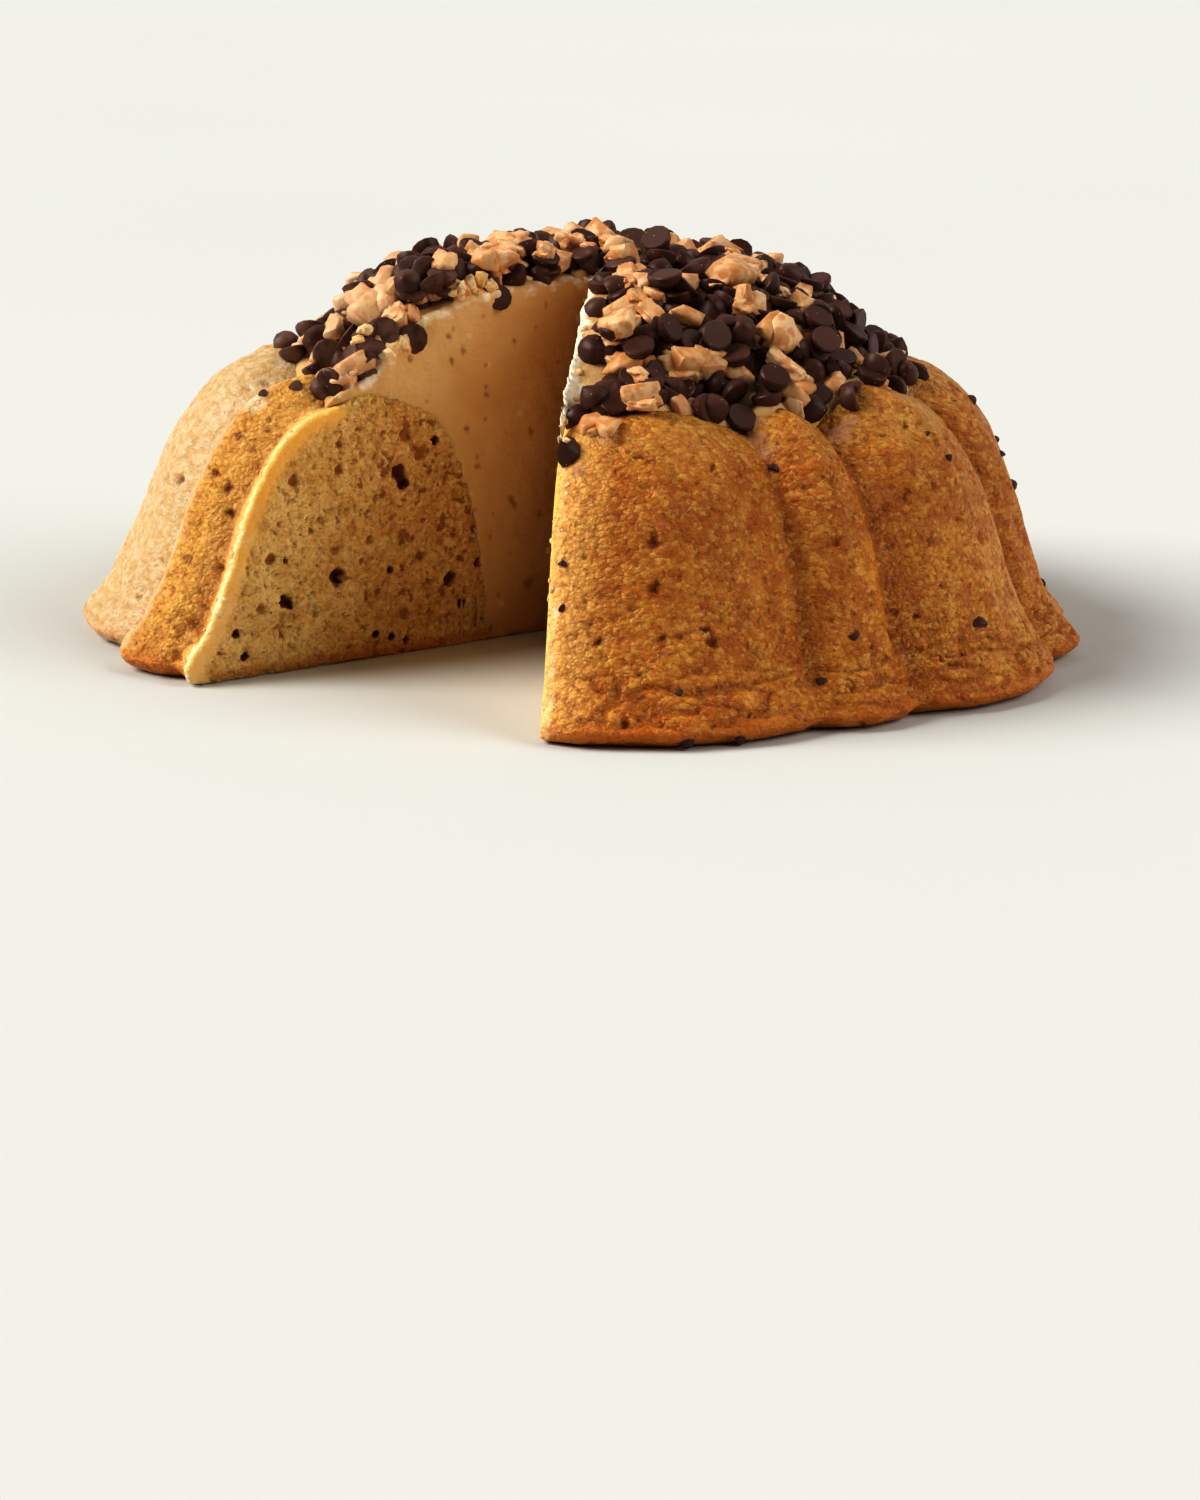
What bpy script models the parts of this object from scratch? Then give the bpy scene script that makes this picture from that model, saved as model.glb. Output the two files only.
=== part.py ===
"""A fluted ring cake, its middle filled with frosting that rises into a dome under a chip and toffee topping.

A wedge is cut out of it. The cake stands with +Z up, the cut-out wedge faces -Y, and lengths are in metres.
Sections are drawn in the upright plane through the axis, as (radius, height) pairs in millimetres.
"""

import math
import random

import bmesh
import bpy
from mathutils import Matrix, Vector
from mathutils.bvhtree import BVHTree

MM = 0.001

# The wedge that is cut out: its two cuts meet on the axis, either side of -Y.
WEDGE_HALF_ANGLE = math.radians(23.2)
FIRST_CUT = math.radians(-90) + WEDGE_HALF_ANGLE
LAST_CUT = math.radians(270) - WEDGE_HALF_ANGLE

# The outer surface swings between two lines, one down a groove and one down the crest of a wide lobe.
# Both run from the underside of the foot, over the rim and up the wall, to where the ring's top turns in.
GROOVE_LINE = ((112, 0), (117.4, 4), (110.4, 12.3), (105, 24), (100.3, 37.4), (94.4, 48.8),
               (89, 54.6), (84.4, 58.4), (70, 62.8), (57, 62))
CREST_LINE = ((121, 0), (126.4, 4), (119.5, 12.3), (113.5, 24), (108.6, 37.4), (102.3, 51.7),
              (92.5, 63.4), (80, 69.5), (66, 68.2), (57, 62))
# From the ring's top down to its base, this is where the cake meets the filling.
FILLING_LINE = ((57, 62), (47, 56.4), (39.5, 46), (35.5, 31), (32, 14), (28.6, 0))
TOPPING_EDGE = 7  # the point of the two outer lines at which the frosting ends

# Wide and narrow lobes alternate, counter-clockwise from the one that the first cut passes through.
FIRST_LOBE_START = math.radians(-71.6)
FIRST_LOBE_SPAN = math.radians(36.9)
WIDE_SPAN = math.radians(30.67)
NARROW_SPAN = math.radians(13.4)
LOBE_COUNT = 15
LOBE_ROUNDNESS = 2
LOBE_FLANK = 0.9

# How far a lobe stands out, as a share of the way from groove to crest: at the foot, and up the wall.
WIDE_FULLNESS = (1.0, 1.0)
NARROW_FULLNESS = (0.55, 0.77)
UNEVEN_LOBES = {3: (0.62, 0.77), 4: (0.35, 0.75), 12: (1.05, 1.0), 13: (0.92, 0.85)}
FOOT_ENDS_AT = 2.4  # in points along the lines
WALL_STARTS_AT = 4.4

# Sections are closest beside a groove, where the surface turns fastest.
WIDE_SECTIONS = (0, 0.08, 0.25, 0.5, 0.75, 0.92)
NARROW_SECTIONS = (0, 0.18, 0.5, 0.82)
STEPS_PER_POINT = 2
LEAST_SECTION_GAP = math.radians(0.8)

# The frosting's dome, with the bottom layer of the topping that is pressed into it.
DOME_LINE = ((0, 93), (18, 92.2), (33, 89.6), (46, 85.2), (61, 76.8))
DOME_SHOULDER = (72, 73.5)  # the dome bends down from its last point to its edge towards this one
DOME_BEND = (0.3, 0.6, 0.85)  # how far along that bend its points are
EDGE_THICKNESS = 0.9
GAP = 0.35  # between two pieces that touch in the real cake

# The topping that lies on top: chips with a flat base, and broken bits of toffee.
CHIP_RADIUS = 3.8
CHIP_SHOULDER = (0.62, 0.55)  # radius and height, as shares of the chip's
CHIP_HEIGHT = 6.0
CHIP_SIDES = 7
TOFFEE_SIZES = (11.5, 7.5)
TOPPING_COUNT = 164
TOFFEE_EVERY = 3
TOPPING_REACH = 79.5
SUNK_SHARE = 0.22
CUT_CLEARANCE = 0.6
SEED = 11


def clear_scene():
    for thing in list(bpy.data.objects):
        bpy.data.objects.remove(thing, do_unlink=True)


def new_collection(name):
    made = bpy.data.collections.new(name)
    bpy.context.scene.collection.children.link(made)
    return made


def material(name, colour, roughness):
    made = bpy.data.materials.new(name)
    made.use_nodes = True
    shader = made.node_tree.nodes["Principled BSDF"]
    shader.inputs["Base Color"].default_value = (*colour, 1)
    shader.inputs["Roughness"].default_value = roughness
    shader.inputs["Metallic"].default_value = 0
    made.diffuse_color = (*colour, 1)
    return made


def smooth_line(points, steps=STEPS_PER_POINT):
    """A smooth curve through the points, as a list that keeps each of them."""
    points = [Vector(point) for point in points]
    ends = [points[0]] + points + [points[-1]]
    line = []
    for before, start, end, after in zip(ends, ends[1:], ends[2:], ends[3:]):
        for step in range(steps):
            t = step / steps
            line.append(0.5 * (2 * start + (end - before) * t
                               + (2 * before - 5 * start + 4 * end - after) * t ** 2
                               + (3 * start - before - 3 * end + after) * t ** 3))
    return line + [points[-1]]


def lobes():
    """(start, span, fullness at the foot, fullness up the wall) of each lobe."""
    start = FIRST_LOBE_START
    for number in range(LOBE_COUNT):
        wide = number % 2 == 0
        span = WIDE_SPAN if wide else NARROW_SPAN
        if number == 0:
            span = FIRST_LOBE_SPAN
        fullness = UNEVEN_LOBES.get(number, WIDE_FULLNESS if wide else NARROW_FULLNESS)
        yield start, span, *fullness
        start += span


def section_azimuths():
    """Where the outlines are drawn: at both cuts, and at the same shares of each lobe between them."""
    found = [FIRST_CUT]
    for number, (start, span, *_) in enumerate(lobes()):
        for share in WIDE_SECTIONS if number % 2 == 0 else NARROW_SECTIONS:
            azimuth = start + share * span
            if found[-1] + LEAST_SECTION_GAP < azimuth < LAST_CUT - LEAST_SECTION_GAP:
                found.append(azimuth)
    return found + [LAST_CUT]


def fullness_at(azimuth):
    for start, span, foot, wall in lobes():
        share = (azimuth - start) / span
        if 0 <= share < 1:
            arc = (1 - abs(2 * share - 1) ** LOBE_ROUNDNESS) ** LOBE_FLANK
            return foot * arc, wall * arc
    return 0, 0


def ease(share):
    share = min(max(share, 0), 1)
    return share * share * (3 - 2 * share)


def cake_surface(azimuth):
    """The outer line at an azimuth, from the foot's underside to the ring's top, then down the filling."""
    foot, wall = fullness_at(azimuth)
    outer = []
    for number, (groove, crest) in enumerate(zip(smooth_line(GROOVE_LINE), smooth_line(CREST_LINE))):
        up = ease((number / STEPS_PER_POINT - FOOT_ENDS_AT) / (WALL_STARTS_AT - FOOT_ENDS_AT))
        outer.append(groove.lerp(crest, foot + (wall - foot) * up))
    return outer + smooth_line(FILLING_LINE)[1:]


def moved_off(line, distance):
    """The line set off to its right hand by a distance, as a wall's thickness would be."""
    moved = []
    for number, point in enumerate(line):
        along = line[min(number + 1, len(line) - 1)] - line[max(number - 1, 0)]
        moved.append(point + Vector((along.y, -along.x)).normalized() * distance)
    return moved


def frosting_outline(azimuth):
    """From the top of the axis down the dome to its edge, back along the cake, and down the middle."""
    cake = cake_surface(azimuth)[TOPPING_EDGE * STEPS_PER_POINT:]
    under = moved_off(cake, GAP)
    under[-1].y = 0
    edge = under[0] + Vector((0, EDGE_THICKNESS))
    dome = [Vector(point) for point in DOME_LINE]
    last, shoulder = dome[-1], Vector(DOME_SHOULDER)
    for t in DOME_BEND:
        dome.append(last.lerp(shoulder, t).lerp(shoulder.lerp(edge, t), t))
    return dome + [edge] + under + [Vector((0, 0))]


def loft(name, outlines, azimuths, closed):
    """A solid through one outline at each azimuth, flat at both ends. One left open ends on the axis."""
    shape = bmesh.new()
    rows = []
    for outline, azimuth in zip(outlines, azimuths):
        side = Vector((math.cos(azimuth), math.sin(azimuth), 0))
        rows.append([shape.verts.new((side * radius + Vector((0, 0, height))) * MM)
                     for radius, height in outline])
    count = len(rows[0])
    for row, following in zip(rows, rows[1:]):
        for here in range(count if closed else count - 1):
            after = (here + 1) % count
            shape.faces.new((row[here], following[here], following[after]))
            shape.faces.new((row[here], following[after], row[after]))
    for row in (rows[0], rows[-1]):
        shape.faces.new(row)
    bmesh.ops.remove_doubles(shape, verts=shape.verts, dist=1e-7)
    bmesh.ops.recalc_face_normals(shape, faces=shape.faces)
    mesh = bpy.data.meshes.new(name)
    shape.to_mesh(mesh)
    shape.free()
    return bpy.data.objects.new(name, mesh)


def tree_of(thing):
    shape = bmesh.new()
    shape.from_mesh(thing.data)
    tree = BVHTree.FromBMesh(shape)
    shape.free()
    return tree


def chip(shape, _dice):
    """A drop with a flat base: a short cone whose top is drawn up to a point."""
    shoulder, rise = CHIP_SHOULDER
    bmesh.ops.create_cone(shape, cap_ends=True, segments=CHIP_SIDES, radius1=CHIP_RADIUS * MM,
                          radius2=CHIP_RADIUS * shoulder * MM, depth=CHIP_HEIGHT * rise * MM)
    top = max(shape.faces, key=lambda face: face.calc_center_median().z)
    tip = bmesh.ops.poke(shape, faces=[top])["verts"][0]
    tip.co.z += CHIP_HEIGHT * (1 - rise) * MM
    bmesh.ops.translate(shape, verts=shape.verts, vec=(0, 0, CHIP_HEIGHT * (rise / 2 - 0.5) * MM))
    return CHIP_HEIGHT


def toffee(shape, dice):
    """A broken bit: a coarse ball pushed out of shape, longer one way than the others."""
    long, short = TOFFEE_SIZES
    bmesh.ops.create_icosphere(shape, subdivisions=1, radius=0.5 * MM)
    for vert in shape.verts:
        vert.co *= dice.uniform(0.84, 1.12)
    sizes = (dice.uniform(0.75, 1.1) * long, dice.uniform(0.6, 0.9) * long, short)
    bmesh.ops.scale(shape, verts=shape.verts, vec=sizes)
    return short


def clear_of_cake(points, cake):
    """True where every point is outside the cut-out wedge and above the cake."""
    for point in points:
        beside = abs(point.x) * math.cos(WEDGE_HALF_ANGLE) + point.y * math.sin(WEDGE_HALF_ANGLE)
        if beside < CUT_CLEARANCE * MM:
            return False
        below = cake.ray_cast(Vector((point.x, point.y, 1)), Vector((0, 0, -1)))[0]
        if below is not None and point.z < below.z + 2 * GAP * MM:
            return False
    return True


def topping_pieces(frosting, cake, collection):
    """The pieces on the dome, spread evenly by the golden angle, each turned and tipped a little."""
    dice = random.Random(SEED)
    dome, ring = tree_of(frosting), tree_of(cake)
    golden = math.pi * (3 - math.sqrt(5))
    for number in range(TOPPING_COUNT):
        radius = TOPPING_REACH * math.sqrt((number + 0.5) / TOPPING_COUNT) * MM
        azimuth = number * golden
        shape = bmesh.new()
        height = (toffee if number % TOFFEE_EVERY == 0 else chip)(shape, dice) * MM
        over = Vector((radius * math.cos(azimuth), radius * math.sin(azimuth), 1))
        place, normal = dome.ray_cast(over, Vector((0, 0, -1)))[:2]
        turn = Matrix.Rotation(dice.uniform(0, math.tau), 4, "Z")
        tip = Matrix.Rotation(dice.gauss(0, 0.35), 4, "X")
        if place is not None:
            upright = normal.to_track_quat("Z", "Y").to_matrix().to_4x4()
            lift = Matrix.Translation(place + normal * height * (0.5 - SUNK_SHARE))
            bmesh.ops.transform(shape, matrix=lift @ upright @ tip @ turn, verts=shape.verts)
        if place is not None and clear_of_cake([vert.co for vert in shape.verts], ring):
            mesh = bpy.data.meshes.new(f"topping_{number}")
            shape.to_mesh(mesh)
            collection.objects.link(bpy.data.objects.new(mesh.name, mesh))
        shape.free()


def fuse(thing, collection):
    """One union of the thing with all that is in the collection, whose objects are then removed."""
    union = thing.modifiers.new("topping", "BOOLEAN")
    union.operation = "UNION"
    union.operand_type = "COLLECTION"
    union.collection = collection
    union.solver = "MANIFOLD"
    bpy.context.view_layer.update()
    graph = bpy.context.evaluated_depsgraph_get()
    fused = bpy.data.meshes.new_from_object(thing.evaluated_get(graph))
    thing.modifiers.clear()
    thing.data = fused
    for piece in list(collection.objects):
        bpy.data.objects.remove(piece, do_unlink=True)
    bpy.data.collections.remove(collection)


def finish(thing, parent, look):
    thing.data.materials.clear()
    thing.data.materials.append(look)
    thing.data.shade_smooth()
    thing.data.set_sharp_from_angle(angle=math.radians(40))
    thing.parent = parent


def middle_of(things):
    """The middle of the footprint, which is the part's origin."""
    corners = [vert.co for thing in things for vert in thing.data.vertices]
    return [(min(c[i] for c in corners) + max(c[i] for c in corners)) / 2 for i in (0, 1)]


clear_scene()
part = new_collection("fluted_cake")
azimuths = section_azimuths()

cake = loft("cake", [cake_surface(azimuth) for azimuth in azimuths], azimuths, closed=True)
frosting = loft("frosting", [frosting_outline(azimuth) for azimuth in azimuths], azimuths, closed=False)
for thing in (cake, frosting):
    part.objects.link(thing)

topping = new_collection("topping_pieces")
topping_pieces(frosting, cake, topping)
fuse(frosting, topping)

axis = bpy.data.objects.new("cake_axis", None)
part.objects.link(axis)
middle = middle_of((cake, frosting))
axis.location = (-middle[0], -middle[1], 0)
finish(cake, axis, material("cake_crust", (0.50, 0.27, 0.09), 0.75))
finish(frosting, axis, material("caramel_frosting", (0.66, 0.44, 0.24), 0.5))
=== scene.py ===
"""A fluted ring of pound cake, filled with caramel frosting and topped with chocolate chips and toffee bits.

A wedge is cut out of it. Lengths are in metres, +Z is up, and the cut-out wedge faces -Y.
"""
import math
import random

import bpy
import numpy as np
from mathutils import Matrix, Vector, noise
from mathutils.bvhtree import BVHTree
from mathutils.kdtree import KDTree


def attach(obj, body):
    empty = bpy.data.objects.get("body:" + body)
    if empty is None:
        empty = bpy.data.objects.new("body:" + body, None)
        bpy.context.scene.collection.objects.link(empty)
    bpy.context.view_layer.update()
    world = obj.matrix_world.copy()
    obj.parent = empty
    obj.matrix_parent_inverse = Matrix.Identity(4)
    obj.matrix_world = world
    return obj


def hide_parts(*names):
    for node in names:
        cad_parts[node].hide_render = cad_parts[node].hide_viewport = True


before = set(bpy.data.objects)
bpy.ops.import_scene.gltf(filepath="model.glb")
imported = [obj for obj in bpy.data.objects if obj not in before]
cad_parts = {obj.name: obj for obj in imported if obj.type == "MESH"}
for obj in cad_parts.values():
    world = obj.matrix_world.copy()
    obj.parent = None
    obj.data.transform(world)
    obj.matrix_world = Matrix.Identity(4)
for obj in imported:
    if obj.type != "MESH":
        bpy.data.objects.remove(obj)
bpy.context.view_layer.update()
MM = 0.001

# The camera stands a metre away, to the right of the wedge, and looks down on the cake by fifteen degrees. It
# is rolled by one degree. A spot, (across, down) in its frame, is the place on a piece that it sees there.
CAMERA_PLACE = (0.4773, -0.8944, 0.2370)
CAMERA_TURN = math.radians(28.1)
CAMERA_PITCH = math.radians(14.98)
CAMERA_ROLL = math.radians(1.085)
CAMERA_LENS = 99.29
FRAME_WIDTH, FRAME_HEIGHT = 1200, 1500


def added(name, data):
    """A new object in the scene that holds the data."""
    made = bpy.data.objects.new(name, data)
    bpy.context.scene.collection.objects.link(made)
    return made


camera_data = bpy.data.cameras.new("camera")
camera_data.lens = CAMERA_LENS
camera_data.clip_start = 0.05
camera = added("camera", camera_data)
aim = Matrix.Rotation(CAMERA_TURN, 4, "Z") @ Matrix.Rotation(math.pi / 2 - CAMERA_PITCH, 4, "X")
camera.matrix_world = Matrix.Translation(CAMERA_PLACE) @ aim @ Matrix.Rotation(CAMERA_ROLL, 4, "Z")
bpy.context.scene.camera = camera

# The cake: a fluted ring of pound cake, turned out of its pan and cut. It starts as the solid's own form, and
# is smoothed, made fine where it shows, and given the grain of its crust, the folds over its foot and the
# pores of its cut faces. Its spots have a third number, how far they reach in mm.
AXIS = Vector((-0.56, -6.63, 0)) * MM  # the ring's own, upright
WEDGE_HALF_ANGLE = math.radians(23.2)
FIRST_CUT = math.radians(-90) + WEDGE_HALF_ANGLE
LAST_CUT = math.radians(270) - WEDGE_HALF_ANGLE
HIDDEN_SIDE = (math.radians(25), math.radians(190))  # round from +X, the side away from the camera
SAME_PLACE = 0.00001  # corners nearer to each other than this are merged
KEPT_EDGES = ((18, 0.75), (60, 0.25))  # degrees between two faces, and the crease that their edge then gets
CRUST_GRID = 1.15 * MM
FACES_KEPT = 0.52  # of all, once those that the frosting and the ground hide are thinned
ON_CUT, FACING_CUT = 0.5 * MM, 0.75  # how near a cut plane a cut face is, and how squarely it faces it
SHOWN_BESIDE_CUT = 4 * MM  # what is nearer to a cut than this is never taken as covered
FILLED_WITHIN = 60 * MM  # from the axis, where the frosting fills the ring's middle,
SPREAD_WITHIN, SPREAD_ABOVE = 76 * MM, 54 * MM  # and where it is spread over the ring's shoulders
BARE_FROM = 77  # mm from the axis: where the frosting on the crust ends, at its mean
ROUNDING = (6, 1.5)  # mm from the corner of crust and cut: where its rounding starts, and where it is full
CORNER_ROUNDS, VALLEY_ROUNDS = 110, 170  # of smoothing: on the corners, and to fill the grooves between lobes
CORNER_CALM = 0.88  # the share of the crust's relief that is lost where the corner is fully rounded
PORES_FROM = (2.5, 6)  # mm from the crust, where the pores of the cut faces fade in
FOLDS_START, FOLDS_END = (3.5, 6), (21, 12)  # mm up: where the folds over the foot fade in, and out
FOLD_GAP, FOLD_LENGTH, FOLD_DEPTH = 2.6, 11, 1.1  # mm up the foot, along it, and into it
PIT_DEPTH, CUT_PIT_DEPTH, HOLE_DEPTH, SMEAR_HEIGHT = 1.3 * MM, 1 * MM, 2.2 * MM, 0.5 * MM
HIDDEN_PITS = 60
RIM_ON_CUT, RIM_ON_CRUST = (7.5, 2.5), (4.5, 0.5)  # mm from the corner: where its pale rim, partly painted glow, ends, and is full
NEAR_CUT = (16, 3)  # mm from the cut: where the crust starts to be lighter (partly painted highlight), and is lightest
RIGHT_RIM, RIGHT_NEAR_CUT = 0.5, 0.72  # how strong these two are on the right half
WARM_STARTS, WARM_ENDS = (70, 160), (246, 240.5)  # degrees round from +X: where the crust is warm in colour, and where it is pale: browned least, and lightened by painted light
PALE_STARTS, PALE_ENDS = (105, 200), (241, 230)  # and where it has browned least
PALE_LIT_SIDE = (-0.97, -0.24, 0)  # the way that the pale side faces: browned least, and painted as the lit side
PITS = (
    (654, 542, 2), (655, 588, 1.9), (713, 642, 2.3), (600, 641, 1.2), (662, 638, 1), (589, 625, 1),
    (706, 630, 1), (750, 607, 1), (930, 540, 1.2), (981, 537, 2), (943, 586, 1), (916, 615, 1),
    (942, 660, 1), (180, 480, 1.4), (215, 473, 1.6), (230, 513, 1.6), (238, 435, 1.8), (228, 488, 1.6),
    (188, 561, 1.3), (640, 673, 1),
)
CUT_PITS = (
    (339, 471, 1.6), (293, 483, 2), (421, 452, 2.6), (406, 436, 2.4), (405, 614, 2), (420, 556, 1.7),
    (270, 560, 1.8), (262, 610, 1.7), (370, 540, 1.3), (320, 520, 1.2),
)
CUT_HOLES = (
    (399, 474, 2.6), (404, 484, 2), (339, 577, 2.8), (285, 601, 1.8), (290, 604, 1.7), (390, 570, 1.2),
    (237, 635, 1.5), (246, 657, 1.4), (479, 563, 1.6), (475, 529, 1.3), (450, 579, 2.4), (462, 604, 1.3),
    (286, 561, 0.9), (376, 635, 1.2), (392, 637, 1.2), (407, 640, 1.2), (454, 443, 1.3), (436, 441, 1.4),
)
SMEARS = (
    (752, 424, 4), (757, 440, 4), (766, 452, 3), (838, 436, 4.5), (848, 424, 3.5), (606, 436, 4),
    (578, 470, 2.5), (370, 388, 4), (293, 364, 4), (255, 405, 4.5), (905, 392, 3), (338, 372, 3),
    (672, 408, 2.5),
)
dice = random.Random(11)


def take(thing):
    """Selects one thing alone and makes it the active one."""
    bpy.ops.object.select_all(action="DESELECT")
    thing.select_set(True)
    bpy.context.view_layer.objects.active = thing


def work(thing, kind, **settings):
    """Puts a modifier on the thing and applies it."""
    take(thing)
    modifier = thing.modifiers.new(kind.lower(), kind)
    for name, value in settings.items():
        setattr(modifier, name, value)
    bpy.ops.object.modifier_apply(modifier=modifier.name)


def corners_of(thing):
    """Where the thing's corners are, and which way its surface faces there."""
    found = []
    for reading in ("co", "normal"):
        values = np.empty(len(thing.data.vertices) * 3)
        thing.data.vertices.foreach_get(reading, values)
        found.append(values.reshape(-1, 3))
    return found


def put_corners(thing, places):
    """Moves the thing's corners to the places."""
    thing.data.vertices.foreach_set("co", places.ravel())
    thing.data.update()


def mark(thing, name, where):
    """A vertex group of the corners where the array is above zero, with the array's weights."""
    group = thing.vertex_groups.new(name=name)
    for number in np.flatnonzero(where > 0):
        group.add([int(number)], float(where[number]), "REPLACE")


def keep_values(thing, name, values):
    """Stores one number a corner on the thing, for its material to read."""
    layer = thing.data.attributes.new(name, "FLOAT", "POINT")
    layer.data.foreach_set("value", values.astype(np.float32))


def relief(thing, size, height, group="", dots=None, noise_depth=2):
    """Raises and lowers the surface by clouds of that size or, with dots, only where the clouds are low."""
    texture = bpy.data.textures.new("relief", "CLOUDS")
    texture.noise_scale = size
    texture.noise_depth = noise_depth
    if dots:
        texture.use_color_ramp = True
        full, gone = texture.color_ramp.elements
        full.position, full.color = dots[0], (1, 1, 1, 1)
        gone.position, gone.color = dots[1], (0, 0, 0, 1)
    middle = 0 if dots else 0.5
    work(thing, "DISPLACE", texture=texture, strength=height, mid_level=middle, vertex_group=group)


def tree_of(*things):
    """What rays can be cast on: the surface of all the things together."""
    corners, faces = [], []
    for thing in things:
        start = len(corners)
        corners.extend(corner.co[:] for corner in thing.data.vertices)
        faces.extend([start + number for number in face.vertices] for face in thing.data.polygons)
    return BVHTree.FromPolygons(corners, faces)


def seen(across, down, tree):
    """Where a ray from the camera through a spot of its frame meets the tree, and the way the tree faces."""
    scale = camera_data.sensor_width / camera_data.lens / FRAME_HEIGHT
    ray = Vector(((across - FRAME_WIDTH / 2) * scale, (FRAME_HEIGHT / 2 - down) * scale, -1)).normalized()
    ray.rotate(camera.matrix_world.to_quaternion())
    return tree.ray_cast(camera.matrix_world.translation, ray)[:2]


def middles_of(spots, tree):
    """The places that spots with a reach have on the tree, and their reaches."""
    return [(seen(across, down, tree)[0], reach * MM) for across, down, reach in spots]


def on_side(azimuth, height, tree):
    """Where a level ray towards the axis meets the tree, and the way the tree faces there."""
    outward = Vector((math.cos(azimuth), math.sin(azimuth), 0))
    return tree.ray_cast(AXIS + outward * 0.2 + Vector((0, 0, height)), -outward)[:2]


def ease(values, low, high):
    """0 below low and 1 above high, with an eased step between; the other way round if low is above high."""
    share = np.clip((values - low) / (high - low), 0, 1)
    return share * share * (3 - 2 * share)


def dent(places, normals, middles, depth):
    """Presses uneven hollows round the middles into the corners, and tells how far in one each corner is."""
    inside = np.zeros(len(places))
    for middle, reach in middles:
        away = np.linalg.norm(places - np.array(middle), axis=1) / reach
        for number in np.flatnonzero(away < 1.5):
            uneven = 1 + 0.5 * noise.noise(Vector(places[number]) / reach * 1.5)
            inside[number] = max(inside[number], ease(away[number] / uneven, 1, 0.35))
    places -= normals * (inside * depth)[:, None]
    return inside


def beside_cut(places):
    """How far each place is from the nearer cut plane, below zero inside the wedge."""
    across, along = places[:, 0] - AXIS.x, places[:, 1] - AXIS.y
    distance = np.abs(across) * math.cos(WEDGE_HALF_ANGLE) + along * math.sin(WEDGE_HALF_ANGLE)
    return np.where(along < 0, distance, np.hypot(across, along))


def regions(places, normals):
    """Which corners are on the cut faces, which are covered, and how far each is from the axis."""
    radius = np.hypot(places[:, 0] - AXIS.x, places[:, 1] - AXIS.y)
    side = np.where(places[:, 0] > AXIS.x, 1, -1)
    facing = -(normals[:, 0] * side * math.cos(WEDGE_HALF_ANGLE) + normals[:, 1] * math.sin(WEDGE_HALF_ANGLE))
    beside = beside_cut(places)
    cut = (beside < ON_CUT) & (facing > FACING_CUT)
    under = (places[:, 2] < 1 * MM) & (normals[:, 2] < -0.6)
    filled = (radius < FILLED_WITHIN) | ((radius < SPREAD_WITHIN) & (places[:, 2] > SPREAD_ABOVE))
    return cut, (under | filled) & (beside > SHOWN_BESIDE_CUT), radius


def depth_below(skin, inside, places):
    """How far in mm each place inside is from the nearest one on the skin, and 99 for all others."""
    tree = KDTree(int(skin.sum()))
    for number in np.flatnonzero(skin):
        tree.insert(places[number], int(number))
    tree.balance()
    depth = np.full(len(places), 99.0)
    for number in np.flatnonzero(inside):
        depth[number] = tree.find(places[number])[2] / MM
    return depth


cake = added("baked_cake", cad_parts["cake"].data.copy())
take(cake)
bpy.ops.object.mode_set(mode="EDIT")
bpy.ops.mesh.select_all(action="SELECT")
bpy.ops.mesh.remove_doubles(threshold=SAME_PLACE)
bpy.ops.mesh.customdata_custom_splitnormals_clear()
bpy.ops.mesh.tris_convert_to_quads(face_threshold=math.radians(50), shape_threshold=math.pi)
for sharpness, crease in KEPT_EDGES:
    bpy.ops.mesh.select_all(action="DESELECT")
    bpy.ops.mesh.edges_select_sharp(sharpness=math.radians(sharpness))
    bpy.ops.transform.edge_crease(value=crease)
bpy.ops.object.mode_set(mode="OBJECT")
work(cake, "SUBSURF", levels=2, render_levels=2)
mould = added("mould", cake.data.copy())
work(cake, "REMESH", mode="VOXEL", voxel_size=CRUST_GRID)

covered = regions(*corners_of(cake))[1]
mark(cake, "covered", covered.astype(float))
work(cake, "DECIMATE", ratio=FACES_KEPT, vertex_group="covered", vertex_group_factor=10)
cake.vertex_groups.clear()
cut = regions(*corners_of(cake))[0]
take(cake)
bpy.ops.object.mode_set(mode="EDIT")
bpy.ops.mesh.select_mode(type="FACE")
bpy.ops.mesh.select_all(action="DESELECT")
bpy.ops.object.mode_set(mode="OBJECT")
for face in cake.data.polygons:
    face.select = all(cut[corner] for corner in face.vertices)
bpy.ops.object.mode_set(mode="EDIT")
bpy.ops.mesh.subdivide(number_cuts=1)
bpy.ops.mesh.select_mode(type="VERT")
bpy.ops.object.mode_set(mode="OBJECT")

places, normals = corners_of(cake)
cut, covered, radius = regions(places, normals)
crust = ~cut & ~covered
skin = crust & (places[:, 2] > 1 * MM) & (radius > BARE_FROM * MM)
depth = depth_below(skin, cut, places)
beside = beside_cut(places) / MM
outside = ease(radius / MM, BARE_FROM - 6, BARE_FROM + 2)
rounded = np.where(cut, ease(depth, *ROUNDING), crust * outside * ease(beside, *ROUNDING))
mark(cake, "edge", rounded * (places[:, 2] > 1.5 * MM))
work(cake, "SMOOTH", factor=0.5, iterations=CORNER_ROUNDS, vertex_group="edge")
plain, normals = corners_of(cake)
# How deep each corner lies in a groove, for the painted shade there.
filled = added("filled", cake.data.copy())
work(filled, "SMOOTH", factor=0.5, iterations=VALLEY_ROUNDS)
valley = np.sum((corners_of(filled)[0] - plain) * normals, axis=1) / MM * crust
bpy.data.objects.remove(filled)
height = places[:, 2] / MM
folded = crust * ease(height, *FOLDS_START) * ease(height, *FOLDS_END) * ease(beside, 0, 3)
mark(cake, "crust", crust * (1 - CORNER_CALM * rounded))
mark(cake, "crumb", cut * (0.1 + 0.9 * ease(depth, *PORES_FROM)))
relief(cake, 18 * MM, 1.2 * MM, "crust", noise_depth=1)
relief(cake, 3.2 * MM, 0.5 * MM, "crust")
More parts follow.
